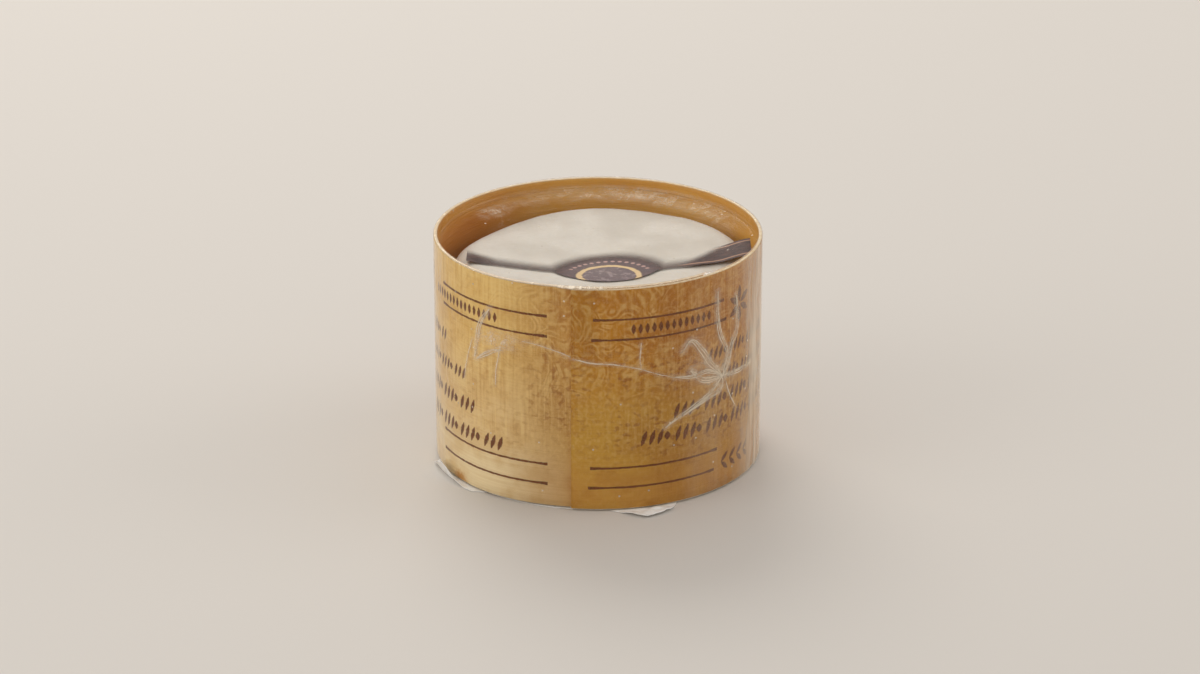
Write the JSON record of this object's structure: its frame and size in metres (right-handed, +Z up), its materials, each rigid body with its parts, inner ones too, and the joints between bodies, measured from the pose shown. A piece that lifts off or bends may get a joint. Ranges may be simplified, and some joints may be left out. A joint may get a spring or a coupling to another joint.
{
  "type": "cheese wheel",
  "caption": "Small soft-ripened cheese standing in a bent-wood hoop, with a paper band and seal on top, wrapped in clear film on a paper underlabel.",
  "frame": {"origin": "centre of the hoop, on the surface that the pack stands on", "axes": "+Z up out of the hoop's open top, -Y to the front where the veneer's lap shows, +X to the right seen from the front"},
  "size_m": [0.081, 0.0847, 0.0576],
  "materials": {
    "bent_veneer": "planed poplar veneer, unvarnished, with brown ink rules",
    "bloomy_rind": "velvety cream-white rind",
    "dark_label_paper": "dark aubergine print with thin gold lines",
    "clear_film": "thin clear perforated film, creased and glossy",
    "white_paper": "plain white label paper"
  },
  "bodies": {
    "root": {"wooden_hoop": "bent_veneer", "cheese": "bloomy_rind", "label": "dark_label_paper", "film_wrap": "clear_film", "base_paper": "white_paper"}
  },
  "joints": []
}
